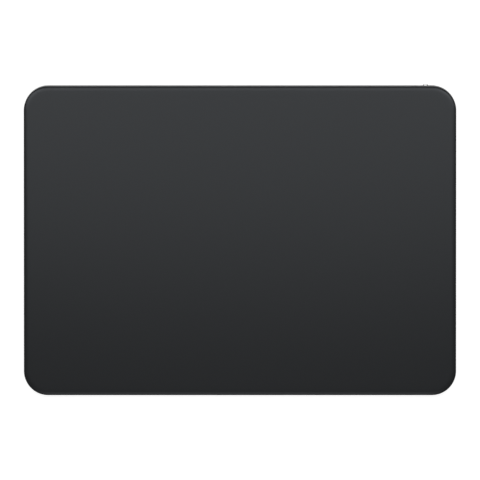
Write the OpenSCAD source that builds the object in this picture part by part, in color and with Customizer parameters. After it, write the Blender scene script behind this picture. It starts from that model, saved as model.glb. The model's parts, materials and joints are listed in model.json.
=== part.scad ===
// Desk trackpad: a wedge-shaped metal tray under a floating glass plate.
// The glass rests on four strain-gauge beams that feel the press, and an
// electromagnet nudges it sideways for the click. Units are millimetres, +Z is
// up, +Y is the thick rear edge, and the origin is on the desk under the middle.

/* [Pad] */
// Width of the pad, side to side
pad_w = 160; // [150:0.5:175]
// Depth of the glass, measured along its slope
glass_d = 114.5; // [110:0.5:124]
// Radius of the pad's corners in plan
corner_r = 9; // [7.5:0.25:10.5]
// Height of the glass's front edge above the desk
front_h = 4.9; // [4.7:0.1:6]
// Height of the glass's rear edge above the desk
back_h = 10.9; // [10.5:0.1:13]

/* [Touch plate] */
// Thickness of the cover glass
glass_t = 1; // [0.8:0.05:1.15]
// Width of the bevel round the glass's top edge
glass_bevel = 0.4; // [0.2:0.05:0.5]
// Thickness of the adhesive sheet under the glass
bond_t = 0.15; // [0.1:0.05:0.25]
// Thickness of the sensor board
sensor_t = 0.7; // [0.5:0.05:0.8]
// Thickness of the steel stiffener
stiffener_t = 0.5; // [0.4:0.05:0.6]
// Room between the sensor board's edge and the tray's wall
plate_clear = 1; // [0.6:0.1:2]
// How far the glass sinks under a firm press
press_travel = 0.25; // [0.1:0.05:0.3]

/* [Tray] */
// Thickness of the tray's side walls
wall_t = 2.2; // [1.8:0.1:2.8]
// Thickness of the tray's floor
floor_t = 1.1; // [0.9:0.05:1.2]
// Gap between the tray's rim and the glass
rim_gap = 0.45; // [0.35:0.05:0.6]
// Width of the bevel round the underside
base_bevel = 0.8; // [0.4:0.1:1.2]
// Width of the foam seal on the rim
seal_w = 0.8; // [0.5:0.1:1]
// Distance from the tray's outside to the foam seal
seal_inset = 0.7; // [0.5:0.1:0.8]

/* [Feet] */
// Diameter of a rubber foot
foot_d = 9; // [6:0.5:12]
// Height of a foot below the tray
foot_h = 0.6; // [0.4:0.1:0.7]
// Depth of the foot's seat in the tray
foot_seat = 0.4; // [0.2:0.05:0.6]
// Distance from the pad's sides to a foot's centre
foot_edge = 13; // [11:0.5:18]

/* [Force sensing] */
// Distance from the pad's side to a shear pad's centre
pad_edge_x = 14; // [12:0.5:18]
// Distance from the pad's front or rear to a shear pad's centre
pad_edge_y = 14; // [13.5:0.5:18]
// Thickness of a shear pad
pad_t = 0.4; // [0.35:0.05:0.5]
// Distance from a beam's screw to its shear pad
beam_span = 15; // [12:0.5:18]
// Width of a beam at its ends
beam_w = 7; // [6:0.25:8]
// Width of a beam at its waist
beam_waist = 4; // [3:0.25:5]
// Thickness of a beam
beam_t = 0.5; // [0.4:0.05:0.6]

/* [Haptic drive] */
// Width of the drive's bracket
drive_w = 56; // [54:0.5:60]
// Depth of the drive's bracket
drive_d = 20; // [19:0.5:24]
// Thickness of the bracket
bracket_t = 0.5; // [0.4:0.05:0.7]
// Air gap between a pole and the armature
pole_gap = 0.4; // [0.25:0.05:0.6]
// Half width of the armature's block
armature_half = 3; // [2.5:0.25:4]
// Thickness of copper wound round a core
winding_t = 0.5; // [0.4:0.05:0.6]
// Room above the coils for the sinking plate
drive_headroom = 0.6; // [0.45:0.05:0.8]

/* [Battery and board] */
// Depth of the battery, front to rear
battery_d = 25; // [22:0.5:27]
// Room between the battery and the tray's right wall
battery_side = 4.8; // [4:0.2:8]
// Room between the battery and the tray's left wall, for the flat cable
cable_lane = 9; // [8:0.25:12]
// Thickness of the tape under the battery
tape_t = 0.15; // [0.1:0.05:0.3]
// Depth of the main board, front to rear
board_d = 36; // [34:0.5:40]
// Thickness of the main board
board_t = 0.8; // [0.6:0.1:1]
// Height of the posts under the main board
board_lift = 0.5; // [0.4:0.1:0.7]
// Thickness of the flat cables
cable_t = 0.15; // [0.1:0.01:0.2]

/* [Charging port] */
// Width of the receptacle's shell
port_w = 8.94; // [8.6:0.02:9.4]
// Height of the receptacle's shell
port_h = 3.16; // [3:0.02:3.4]
// Thickness of the shell's wall
port_wall = 0.3; // [0.2:0.05:0.35]
// Length of the shell
port_len = 7.3; // [6.8:0.1:7.4]
// Height of the port's centre above the tray's floor
port_rise = 3.3; // [3.1:0.05:3.6]

/* [Power switch] */
// Distance from the pad's right side to the knob
knob_edge = 11.3; // [11.2:0.1:16]
// Length of the slider that fills the slot
slider_len = 4.3; // [3.6:0.1:4.4]
// Height of the slot in the rear wall
slot_h = 2.2; // [1.8:0.1:2.4]
// Travel of the slider between off and on
switch_travel = 2; // [1.5:0.1:2.2]
// Width of the knob that a finger pushes
knob_w = 1.9; // [1.4:0.1:2.6]
// How far the knob stands out of the rear wall
knob_proud = 0.4; // [0.2:0.05:0.6]

/* [Hidden] */
$fn = 64;

// Clearances
running_gap = 0.1;   // a sliding piece to its guide, on each side
seat_gap = 0.1;      // a foot or the port to its opening, on each side
thread_gap = 0.05;   // a screw to its hole, on the radius
cut = 1;             // how far a cutting shape runs past what it cuts

// Screws, all of one size
screw_r = 0.7;
head_r = 1.4;
head_h = 0.45;
bite = 1.1;          // depth of the hole in a post
thread_end = 0.1;    // from a screw's end to the bottom of its hole
post_r = 2.5;        // posts under the beams
small_post_r = 2;    // posts under the boards and the drive
recess_w = 0.3;      // bar of the cross recess in a screw head
recess_deep = 0.25;

// The glass's frame: its slope, and the place of its top face's middle
tilt = asin((back_h - front_h) / glass_d);
rear_reach = (back_h - foot_h - base_bevel) * tan(tilt);
deck_y = -rear_reach / 2;
deck_z = (front_h + back_h) / 2;
half_w = pad_w / 2;
half_d = glass_d / 2;

// Levels below the glass's top face, measured square to it
glass_bottom = -glass_t;
board_top = glass_bottom - bond_t;
board_bottom = board_top - sensor_t;
stiff_bottom = board_bottom - stiffener_t;
beam_top = stiff_bottom - pad_t;
beam_bottom = beam_top - beam_t;
rim_z = glass_bottom - rim_gap;

// Levels above the desk
floor_top = foot_h + floor_t;
floor_mid = foot_h + floor_t / 2;
main_bottom = floor_top + board_lift;
main_top = main_bottom + board_t;
socket_h = 0.9;
socket_top = main_top + socket_h;

// A point of the glass's frame (y along the slope, z square to it) in the desk's frame, and back
function desk_y(y, z) = deck_y + y * cos(tilt) - z * sin(tilt);
function desk_z(y, z) = deck_z + y * sin(tilt) + z * cos(tilt);
function deck_level(y, height) = (height - deck_z - y * sin(tilt)) / cos(tilt);

// Touch plate
under_bevel = 0.15;  // round the glass's lower edge
sensor_inset = wall_t + plate_clear;
stiffener_step = 2.5;    // from the sensor board's edge to the stiffener's
stiffener_inset = sensor_inset + stiffener_step;
window_r = 1.5;      // corners of the stiffener's windows
window_side = 1;     // of its round windows past the screw heads
plug_window_d = 8;
plug_window_side = 2.5;
chip_window = [24, 16];
armature_flange = 0.4;
flange_clear = 0.4;  // from the armature's flange to the coils
flange_over = 1;     // of the flange past the armature's block, front and rear

// Chips under the sensor board: each one's place from the window's middle, and its size
touch_reader_at = [-6, 0];
touch_reader = [7, 7, 0.8];
touch_driver_at = [3, 3];
touch_driver = [4, 4, 0.7];
touch_memory_at = [3, -3.5];
touch_memory = [3, 2.4, 0.6];
touch_filter_at = [8.5, 0];
touch_filter = [2, 5, 0.5];

// Tray and feet
bevel_swell = 0.3;   // how much rounder the underside's bevel is at the corners
foot_bevel = 0.25;

// Force sensing
CORNERS = [["front_left", -1, -1], ["front_right", 1, -1], ["rear_left", -1, 1], ["rear_right", 1, 1]];
pad_x = half_w - pad_edge_x;
pad_y = half_d - pad_edge_y;
beam_fix_x = pad_x - beam_span;
gauge = [3.2, 2.6, 0.08];
pad_size = [6, 5.2];
pad_r = 1;           // corners of a shear pad
beam_margin = 0.5;   // of a beam's end past its shear pad

// Battery, which fills the height that the plate leaves above it
battery_gap = 0.8;   // from the cell to the rear posts
battery_rear = desk_y(pad_y - post_r, beam_bottom) - battery_gap;
battery_front = battery_rear - battery_d;
battery_left = cable_lane + wall_t - half_w;
battery_right = half_w - wall_t - battery_side;
battery_w = battery_right - battery_left;
battery_middle = [(battery_left + battery_right) / 2, (battery_front + battery_rear) / 2];
battery_headroom = 0.25;
battery_r = 2;       // corners of the cell in plan
battery_edge = 0.5;  // bevel round the cell
plate_over_battery = desk_z((battery_front - deck_y) / cos(tilt), stiff_bottom - press_travel);
battery_t = plate_over_battery - battery_headroom - floor_top - tape_t;
tape_count = 3;
tape_w = 24;
tape_margin = 2;     // from the tape to the cell's front and rear
circuit_w = 40;
circuit_d = 2.4;
circuit_t = socket_top - floor_top - tape_t;

// Haptic drive: its bracket clears the floor at its front edge
drive_lane = 3;
drive_y = (battery_front - deck_y) / cos(tilt) - drive_lane - drive_d / 2;
bracket_lift = 0.35;
bracket_bottom = deck_level(drive_y - drive_d / 2, floor_top) + bracket_lift;
bracket_top = bracket_bottom + bracket_t;
coil_h = stiff_bottom - drive_headroom - bracket_top;
core_h = coil_h - 2 * winding_t;
core_w = 5;
core_y = 5;          // distance of a core from the drive's middle
core_len = 17.6;
yoke_w = 3;
coil_start = 1.6;    // from the pole's face to the coil
coil_len = 11.5;
drive_depth = 16;    // depth of the yokes and of the armature
drive_screw_edge = [2.5, 3];     // from the bracket's edges
drive_screw = [drive_w / 2 - drive_screw_edge[0], drive_d / 2 - drive_screw_edge[1]];

// Main board, between the tray's wall and the drive
board_side = 3;
board_lane = 3;
board_w = half_w - wall_t - board_side - drive_w / 2 - board_lane;
board_x = -(drive_w / 2 + board_lane + board_w / 2);
board_rear = battery_front - drive_lane;
board_y = board_rear - board_d / 2;
board_screw = 3;     // from the board's edges
board_posts = [[1, 1], [-1, -1], [1, -1]];
socket_d = 3;
socket_side = 0.5;   // of a socket past its cable
socket_edge = 4.5;   // from the board's rear edge to its rear sockets
socket_y = board_rear - socket_edge;
cable_x = battery_left - cable_lane / 3;
cable_w = 3.4;
cable_clear = 0.3;   // from the main board's edge to the rear cable
lead_right = 9;      // of the battery's lead from the board's middle
lead_x = board_x + lead_right;
lead_w = 5;
lead_lap = 1.9;      // of the battery's lead on its circuit
circuit_right = 6;   // of the battery's circuit from its lead
circuit_x = lead_x + circuit_right;
link_left = 9;       // of the sensor cable from the board's middle
link_x = board_x - link_left;
can_size = [13, 11, 1.3];
can_wall = 0.2;
can_at = [-3, 5];    // of the shield can from the sensor cable and the board's middle
can_place = [link_x, board_y] + can_at;
link_w = 10;
link_back = 10;      // from the board's middle to the sensor cable's socket
link_run = 5;        // flat stretch of the sensor cable past its socket
link_join = 3;       // and before its plug

// Chips on the main board: each one's place from the board's middle, and its size
processor_at = [3, 3];
processor = [7, 7, 0.9];
memory_at = [13, 4];
memory = [4, 4, 0.7];
charger_at = [13, -5];
charger = [5, 5, 0.7];
amplifier_at = [3, -9];
amplifier = [4, 3, 0.6];
radio = [6, 6, 0.8];     // under the shield can
passive = [1, 0.5, 0.5];
passive_at = [-2, -12.5];
passive_pitch = [2.4, 1.6];
passive_count = 7;       // in each of two rows
link_socket_y = board_y - link_back;

// Sensor board's plug, above the main board's link socket
plug_h = 0.9;
plug_bottom = board_bottom - plug_h;
link_slack = 11;     // from the link socket to the plug, front to rear
plug_y = (link_socket_y - deck_y) / cos(tilt) + link_slack;
chips_left = 4;      // of the touch chips from the main board's mirror image
chips_front = 4;     // and from the plug
chips_x = -board_x - chips_left;
chips_y = plug_y - chips_front;

// Charging port, square to the rear wall
inner_y = half_d - wall_t;
port_z = deck_level(inner_y, floor_top) + port_rise;
port_recess = 0.35;
port_mouth = half_d - port_recess;
port_board_w = 26;
port_board_d = 7.6;
port_board_t = 0.8;
port_board_top = port_z - port_h / 2;
port_board_gap = 0.25;   // from the port's board to the rear wall
port_board_rear = inner_y - port_board_gap;
port_post = [10.5, port_board_rear - port_board_d / 2];
strap_t = 0.3;
strap_d = 5;
tongue_w = 6.69;
tongue_t = 0.7;
tongue_sink = 0.7;   // from the shell's mouth to the tongue's tip
mould_gap = 0.03;    // from the tongue's block to the shell
insulator_len = 2.2;
contact = [0.25, 3.4, 0.05];
contact_pitch = 0.5;
contact_count = 12;
contact_sink = 1.2;  // from the shell's mouth to the contacts

// Power switch
knob_x = half_w - knob_edge;
slot_len = slider_len + switch_travel + 2 * running_gap;
slot_x = knob_x - switch_travel / 2;
slider_h = slot_h - 2 * running_gap;
slider_sink = 0.6;   // from the wall's outside to the slider's face
slider_face = half_d - slider_sink;
flange_t = 0.5;
flange_gap = 0.15;   // from the tray's wall to the slider's flange
flange_lap = 0.2;    // of the flange past what the slot uncovers
flange_side = 0.6;   // of the flange above and below the slot
flange_len = slider_len + 2 * (switch_travel + flange_lap);
flange_h = slot_h + 2 * flange_side;
flange_y = inner_y - flange_gap;
knob_r = 0.5;        // corners of the knob
flag_t = 0.05;
lever = [1.6, 1.4, 1.2];
lever_room = 0.2;    // round the lever in the switch's body
switch_gap = 0.2;    // from the flange to the switch's body
switch_size = [9.2, 3, 3.6];
switch_board_d = 4.8;
switch_rear = flange_y - flange_t - switch_gap;
switch_board_t = 0.8;
switch_board_top = port_z - switch_size[2] / 2;
switch_post_gap = 4; // from the switch's body to its screw
switch_post_x = slot_x - switch_size[0] / 2 - switch_post_gap;
switch_post_y = switch_rear - switch_board_d / 2;
pocket_h = 4.4;
pocket_d = 4;
pocket_side = 0.5;   // of the pocket past the flange's travel
pocket_len = flange_len + switch_travel + 2 * pocket_side;
tail_over = 6;       // of the rear cable past the switch's post

// Antenna, under the glass at the rear where the sensor board is cut away
antenna_size = [28, 4.6, 2.2];
antenna_away = 8;    // from the port's board to the antenna
antenna_x = -(port_board_w / 2 + antenna_away + antenna_size[0] / 2);
antenna_drop = 0.9;  // from the glass to the carrier
antenna_t = 0.12;
antenna_side = 1;    // bare carrier at each end of the strip
tail_w = 4;          // width of the strip's tail
notch_clear = 1;
antenna_top = glass_bottom - antenna_drop;
antenna_front = inner_y - antenna_size[1];

// The flat cable's lane along the rear of the floor
lane_w = 2.5;
lane_y = desk_y(pad_y + post_r, deck_level(pad_y, floor_top)) + cable_clear + lane_w / 2;

// Shared shapes

module on_deck() {
    translate([0, deck_y, deck_z]) rotate([tilt, 0, 0]) children();
}

module rounded_rect(w, d, r) {
    square([w - 2 * r, d], center = true);
    square([w, d - 2 * r], center = true);
    for (x = [-1, 1], y = [-1, 1]) translate([x * (w / 2 - r), y * (d / 2 - r)]) circle(r);
}

module stadium(w, h) {
    square([w - h, h], center = true);
    for (x = [-1, 1]) translate([x * (w - h) / 2, 0]) circle(h / 2);
}

// A plate whose edge follows a profile: [inset, height] points from its bottom to its top
module edged_plate(w, d, r, edge) {
    last = len(edge) - 1;
    function across(half) = concat(
        [for (p = edge) [half - p[0], p[1]]],
        [for (i = [last : -1 : 0]) [edge[i][0] - half, edge[i][1]]]);
    for (x = [-1, 1], y = [-1, 1]) translate([x * (w / 2 - r), y * (d / 2 - r), 0])
        rotate_extrude()
            polygon(concat([[0, edge[0][1]]], [for (p = edge) [r - p[0], p[1]]], [[0, edge[last][1]]]));
    rotate([90, 0, 90]) linear_extrude(w - 2 * r, center = true) polygon(across(d / 2));
    rotate([90, 0, 0]) linear_extrude(d - 2 * r, center = true) polygon(across(w / 2));
}

// A box given by its middle in plan, its size in plan, and its lowest and highest level
module slab(middle, size, low, high) {
    translate([middle[0] - size[0] / 2, middle[1] - size[1] / 2, low])
        cube([size[0], size[1], high - low]);
}

// A screw whose head sits on z = 0
module screw(shank) {
    difference() {
        union() {
            cylinder(r = head_r, h = head_h);
            translate([0, 0, -shank]) cylinder(r = screw_r, h = shank + head_h / 2);
        }
        for (turn = [0, 90]) rotate(turn)
            slab([0, 0], [1.2 * head_r, recess_w], head_h - recess_deep, head_h + cut);
    }
}

module screw_hole(deep) {
    translate([0, 0, -deep]) cylinder(r = screw_r + thread_gap, h = deep + cut);
}

// A post square to the glass, from the tray's floor up to a level of the glass's frame
module deck_post(x, y, top, r) {
    foot = deck_level(y, floor_mid);
    translate([x, y, foot]) cylinder(r = r, h = top - foot);
}

// Along the rear wall: draws a flat shape in x and z, and runs it inwards from a place on y
module from_rear(y, length) {
    translate([0, y, 0]) rotate([90, 0, 0]) linear_extrude(length) children();
}

// Places of the repeated fasteners

module at_beam_screws() {
    for (c = CORNERS) translate([c[1] * beam_fix_x, c[2] * pad_y, 0]) children();
}

module at_drive_screws() {
    for (x = [-1, 1], y = [-1, 1])
        translate([x * drive_screw[0], drive_y + y * drive_screw[1], 0]) children();
}

module at_board_screws() {
    reach = [board_w / 2 - board_screw, board_d / 2 - board_screw];
    for (p = board_posts) translate([board_x + p[0] * reach[0], board_y + p[1] * reach[1], 0]) children();
}

module at_port_screws() {
    for (x = [-1, 1]) translate([x * port_post[0], port_post[1], 0]) children();
}

// The tray

module case_outside() {
    low = deck_level(half_d, 0);
    base_rear = desk_y(half_d, deck_level(half_d, foot_h));
    base_front = desk_y(-half_d, deck_level(-half_d, foot_h));
    base_d = base_rear - base_front;
    intersection() {
        on_deck() translate([0, 0, low]) linear_extrude(rim_z - low) rounded_rect(pad_w, glass_d, corner_r);
        translate([0, (base_rear + base_front) / 2, foot_h])
            edged_plate(pad_w, base_d, corner_r + bevel_swell,
                [[base_bevel, 0], [-base_bevel, 2 * base_bevel], [-base_bevel, back_h]]);
    }
}

module case_cavity() {
    low = deck_level(half_d, 0);
    intersection() {
        on_deck() translate([0, 0, low])
            linear_extrude(cut - low)
                rounded_rect(pad_w - 2 * wall_t, glass_d - 2 * wall_t, corner_r - wall_t);
        slab([0, 0], [2 * pad_w, 2 * glass_d], floor_top, 2 * back_h);
    }
}

module case_posts() {
    on_deck() {
        for (c = CORNERS) deck_post(c[1] * beam_fix_x, c[2] * pad_y, beam_bottom, post_r);
        for (x = [-1, 1], y = [-1, 1])
            deck_post(x * drive_screw[0], drive_y + y * drive_screw[1], bracket_bottom, small_post_r);
        for (x = [-1, 1])
            deck_post(x * port_post[0], port_post[1], port_board_top - port_board_t, small_post_r);
        deck_post(switch_post_x, switch_post_y, switch_board_top - switch_board_t, small_post_r);
    }
    at_board_screws() translate([0, 0, floor_mid]) cylinder(r = small_post_r, h = main_bottom - floor_mid);
}

module case_cuts() {
    on_deck() {
        at_beam_screws() translate([0, 0, beam_bottom]) screw_hole(bite);
        at_drive_screws() translate([0, 0, bracket_bottom]) screw_hole(bite);
        at_port_screws() translate([0, 0, port_board_top - port_board_t]) screw_hole(bite);
        translate([switch_post_x, switch_post_y, switch_board_top - switch_board_t]) screw_hole(bite);
        from_rear(half_d + cut, wall_t + 2 * cut)
            translate([0, port_z]) stadium(port_w + 2 * seat_gap, port_h + 2 * seat_gap);
        from_rear(half_d + cut, wall_t + 2 * cut) translate([slot_x, port_z]) stadium(slot_len, slot_h);
        slab([slot_x, inner_y - pocket_d / 2], [pocket_len, pocket_d],
            port_z - pocket_h / 2, port_z + pocket_h / 2);
    }
    at_board_screws() translate([0, 0, main_bottom]) screw_hole(bite);
    for (c = CORNERS)
        translate([c[1] * (half_w - foot_edge), c[2] * (half_d - foot_edge), foot_h - cut])
            cylinder(d = foot_d + 2 * seat_gap, h = foot_seat + cut);
}

module lower_case() {
    color("#c9cacc") difference() {
        union() {
            difference() {
                case_outside();
                case_cavity();
            }
            case_posts();
        }
        case_cuts();
    }
}

module edge_seal() {
    color("#151516") on_deck() translate([0, 0, rim_z]) linear_extrude(rim_gap) difference() {
        rounded_rect(pad_w - 2 * seal_inset, glass_d - 2 * seal_inset, corner_r - seal_inset);
        inner = seal_inset + seal_w;
        rounded_rect(pad_w - 2 * inner, glass_d - 2 * inner, corner_r - inner);
    }
}

module foot(sx, sy) {
    color("#8b8d90") translate([sx * (half_w - foot_edge), sy * (half_d - foot_edge), 0])
        rotate_extrude() polygon([[0, 0], [foot_d / 2 - foot_bevel, 0], [foot_d / 2, foot_bevel],
            [foot_d / 2, foot_h + foot_seat], [0, foot_h + foot_seat]]);
}

// The touch plate

module plate_outline(inset) {
    difference() {
        rounded_rect(pad_w - 2 * inset, glass_d - 2 * inset, corner_r - inset);
        notch = [antenna_size[0] + 2 * notch_clear, half_d - antenna_front + notch_clear];
        translate([antenna_x - notch[0] / 2, half_d - notch[1]]) square(notch);
    }
}

module touch_glass() {
    color("#2b2c2e") on_deck() translate([0, 0, glass_bottom]) edged_plate(pad_w, glass_d, corner_r,
        [[under_bevel, 0], [0, under_bevel], [0, glass_t - glass_bevel], [glass_bevel, glass_t]]);
}

module bond_sheet() {
    color("#e6e3d8") on_deck() translate([0, 0, board_top])
        linear_extrude(bond_t) plate_outline(sensor_inset);
}

module sensor_board() {
    color("#1d4a35") on_deck() translate([0, 0, board_bottom])
        linear_extrude(sensor_t) plate_outline(sensor_inset);
}

module stiffener_plate() {
    color("#9fa3a8") on_deck() translate([0, 0, stiff_bottom])
    linear_extrude(stiffener_t) difference() {
        plate_outline(stiffener_inset);
        at_beam_screws() circle(head_r + window_side);
        translate([link_x, plug_y]) rounded_rect(link_w + 2 * plug_window_side, plug_window_d, window_r);
        translate([chips_x, chips_y]) rounded_rect(chip_window[0], chip_window[1], window_r);
    }
}

module touch_chips() {
    chips = [[touch_reader_at, touch_reader], [touch_driver_at, touch_driver],
        [touch_memory_at, touch_memory], [touch_filter_at, touch_filter]];
    color("#18191b") on_deck() for (c = chips)
        slab([chips_x, chips_y] + c[0], c[1], board_bottom - c[1][2], board_bottom);
}

module sensor_plug() {
    color("#d8cfae") on_deck()
        slab([link_x, plug_y], [link_w + 2 * socket_side, socket_d], plug_bottom, board_bottom);
}

module armature() {
    flange = [2 * (armature_half + pole_gap + coil_start - flange_clear), drive_depth + 2 * flange_over];
    color("#8d9094") on_deck() {
        slab([0, drive_y], flange, stiff_bottom - armature_flange, stiff_bottom);
        slab([0, drive_y], [2 * armature_half, drive_depth], bracket_top + winding_t, stiff_bottom);
    }
}

// The force-sensing suspension

module force_beam(sx, sy) {
    color("#b4b7bb") on_deck() translate([sx * pad_x, sy * pad_y, beam_bottom])
    linear_extrude(beam_t) difference() {
        union() {
            square([pad_size[0] + 2 * beam_margin, beam_w], center = true);
            translate([-sx * beam_span, 0]) square([beam_w, beam_w], center = true);
            translate([-sx * beam_span / 2, 0]) square([beam_span, beam_waist], center = true);
        }
        translate([-sx * beam_span, 0]) circle(screw_r + thread_gap);
    }
}

module shear_pad(sx, sy) {
    color("#6d7178") on_deck() translate([sx * pad_x, sy * pad_y, beam_top])
        linear_extrude(pad_t) rounded_rect(pad_size[0], pad_size[1], pad_r);
}

module strain_gauges() {
    color("#c98a3a") on_deck() for (c = CORNERS)
        slab([c[1] * (pad_x - beam_span / 2), c[2] * pad_y], gauge, beam_top, beam_top + gauge[2]);
}

module beam_screws() {
    color("#70747a") on_deck() at_beam_screws() translate([0, 0, beam_top]) screw(beam_t + bite - thread_end);
}

// The haptic drive

module drive_bracket() {
    color("#a4a7ab") on_deck() difference() {
        slab([0, drive_y], [drive_w, drive_d], bracket_bottom, bracket_top);
        at_drive_screws() translate([0, 0, bracket_top]) screw_hole(bracket_t + cut);
    }
}

module core(side) {
    pole = armature_half + pole_gap;
    bar_low = bracket_top + winding_t;
    color("#6f7378") on_deck() {
        for (y = [-1, 1])
            slab([side * (pole + core_len / 2), drive_y + y * core_y], [core_len, core_w],
                bar_low, bar_low + core_h);
        slab([side * (pole + core_len - yoke_w / 2), drive_y], [yoke_w, drive_depth],
            bracket_top, bar_low + core_h);
    }
}

module coil(side, end) {
    middle = [side * (armature_half + pole_gap + coil_start + coil_len / 2), drive_y + end * core_y];
    bar_low = bracket_top + winding_t;
    color("#b5652b") on_deck() difference() {
        slab(middle, [coil_len, core_w + 4 * winding_t], bracket_top, bracket_top + coil_h);
        slab(middle, [coil_len + cut, core_w], bar_low, bar_low + core_h);
    }
}

module drive_screws() {
    color("#70747a") on_deck() at_drive_screws() translate([0, 0, bracket_top])
        screw(bracket_t + bite - thread_end);
}

// The battery

module battery_cell() {
    color("#2e3033") translate([battery_middle[0], battery_middle[1], floor_top + tape_t])
        edged_plate(battery_w, battery_d, battery_r, [[battery_edge, 0], [0, battery_edge],
            [0, battery_t - battery_edge], [battery_edge, battery_t]]);
}

module battery_tape() {
    pitch = battery_w / tape_count;
    color("#efece2") for (i = [0 : tape_count - 1])
        slab([battery_left + (i + 0.5) * pitch, battery_middle[1]], [tape_w, battery_d - 2 * tape_margin],
            floor_top, floor_top + tape_t);
}

module battery_circuit() {
    middle = [circuit_x, battery_front - circuit_d / 2];
    low = floor_top + tape_t;
    color("#27563d") slab(middle, [circuit_w, circuit_d], low, low + circuit_t);
}

module battery_lead() {
    front = socket_y - socket_d / 2;
    rear = battery_front - circuit_d + lead_lap;
    color("#c07a2c") slab([lead_x, (front + rear) / 2], [lead_w, rear - front],
        socket_top, socket_top + cable_t);
}

// The main board

module main_board() {
    color("#1f4d38") difference() {
        slab([board_x, board_y], [board_w, board_d], main_bottom, main_top);
        at_board_screws() translate([0, 0, main_top]) screw_hole(board_t + cut);
    }
}

module shield_can() {
    color("#b9bcc0") difference() {
        slab(can_place, can_size, main_top, main_top + can_size[2]);
        slab(can_place, [can_size[0] - 2 * can_wall, can_size[1] - 2 * can_wall],
            main_top - cut, main_top + can_size[2] - can_wall);
    }
}

module board_chips() {
    chips = [[processor_at, processor], [memory_at, memory],
        [charger_at, charger], [amplifier_at, amplifier]];
    color("#141517") {
        for (c = chips) slab([board_x, board_y] + c[0], c[1], main_top, main_top + c[1][2]);
        slab(can_place, radio, main_top, main_top + radio[2]);
    }
}

module board_passives() {
    color("#b59a6a") for (i = [0 : passive_count - 1], row = [0, 1])
        slab([board_x, board_y] + passive_at + [i * passive_pitch[0], -row * passive_pitch[1]], passive,
            main_top, main_top + passive[2]);
}

module board_sockets() {
    color("#d8cfae") {
        slab([cable_x, socket_y], [cable_w + 2 * socket_side, socket_d], main_top, socket_top);
        slab([lead_x, socket_y], [lead_w + 2 * socket_side, socket_d], main_top, socket_top);
        slab([link_x, link_socket_y], [link_w + 2 * socket_side, socket_d], main_top, socket_top);
    }
}

module board_screws() {
    color("#70747a") at_board_screws() translate([0, 0, main_top]) screw(board_t + bite - thread_end);
}

// The flat cables

// From the main board's link socket up to the sensor board's plug, with slack between
module sensor_cable() {
    start = link_socket_y - socket_d / 2;
    bend = link_socket_y + link_run;
    join = plug_y - link_join;
    end = plug_y + socket_d / 2;
    low = plug_bottom - cable_t;
    color("#c07a2c") translate([link_x, 0, 0]) rotate([90, 0, 90]) linear_extrude(link_w, center = true)
        polygon([[start, socket_top], [bend, socket_top],
            [desk_y(join, low), desk_z(join, low)], [desk_y(end, low), desk_z(end, low)],
            [desk_y(end, plug_bottom), desk_z(end, plug_bottom)],
            [desk_y(join, plug_bottom), desk_z(join, plug_bottom)],
            [bend, socket_top + cable_t], [start, socket_top + cable_t]]);
}

// Along the rear of the floor from the switch, past the port, then forward and up to the main board
module rear_cable() {
    right = switch_post_x + tail_over;
    left = cable_x - cable_w / 2;
    rise_y = board_rear + cable_clear;
    front = socket_y - socket_d / 2;
    color("#c07a2c") {
        slab([(left + right) / 2, lane_y], [right - left, lane_w], floor_top, floor_top + cable_t);
        slab([cable_x, (lane_y + rise_y) / 2], [cable_w, lane_y - rise_y], floor_top, floor_top + cable_t);
        slab([cable_x, rise_y + cable_t / 2], [cable_w, cable_t], floor_top, socket_top + cable_t);
        slab([cable_x, (rise_y + cable_t + front) / 2], [cable_w, rise_y + cable_t - front],
            socket_top, socket_top + cable_t);
    }
}

// The antenna

module antenna_carrier() {
    color("#202224") on_deck() slab([antenna_x, inner_y - antenna_size[1] / 2], antenna_size,
        antenna_top - antenna_size[2], antenna_top);
}

// A strip on the carrier with a tail that drops to the rear cable
module antenna_strip() {
    tail = [tail_w, antenna_t];
    tail_y = antenna_front - antenna_t / 2;
    tail_low = deck_level(tail_y, floor_top + cable_t + antenna_t / 2);
    foot_rear = desk_y(tail_y, tail_low);
    color("#c9913f") {
        on_deck() {
            slab([antenna_x, (inner_y + antenna_front - antenna_t) / 2],
                [antenna_size[0] - 2 * antenna_side, antenna_size[1] + antenna_t],
                antenna_top, antenna_top + antenna_t);
            slab([antenna_x, tail_y], tail, tail_low, antenna_top + antenna_t);
        }
        slab([antenna_x, (lane_y + foot_rear) / 2], [tail[0], foot_rear - lane_y + antenna_t],
            floor_top + cable_t, floor_top + cable_t + antenna_t);
    }
}

// The charging port

module port_shell() {
    color("#c4c6c9") on_deck() from_rear(port_mouth, port_len) translate([0, port_z]) difference() {
        stadium(port_w, port_h);
        stadium(port_w - 2 * port_wall, port_h - 2 * port_wall);
    }
}

module port_tongue() {
    fit = port_wall + mould_gap;
    rear = port_mouth - port_len + insulator_len;
    color("#161719") on_deck() {
        from_rear(rear, insulator_len) translate([0, port_z]) stadium(port_w - 2 * fit, port_h - 2 * fit);
        from_rear(port_mouth - tongue_sink, port_len - insulator_len)
            translate([0, port_z]) square([tongue_w, tongue_t], center = true);
    }
}

module port_contacts() {
    color("#d2a74a") on_deck() for (i = [0 : contact_count - 1], side = [-1, 1])
        slab([(i - (contact_count - 1) / 2) * contact_pitch, port_mouth - contact_sink - contact[1] / 2],
            contact,
            port_z + side * (tongue_t + contact[2]) / 2 - contact[2] / 2,
            port_z + side * (tongue_t + contact[2]) / 2 + contact[2] / 2);
}

module port_board() {
    color("#1f4d38") on_deck() difference() {
        slab([0, port_board_rear - port_board_d / 2], [port_board_w, port_board_d],
            port_board_top - port_board_t, port_board_top);
        at_port_screws() translate([0, 0, port_board_top]) screw_hole(port_board_t + cut);
    }
}

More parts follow.
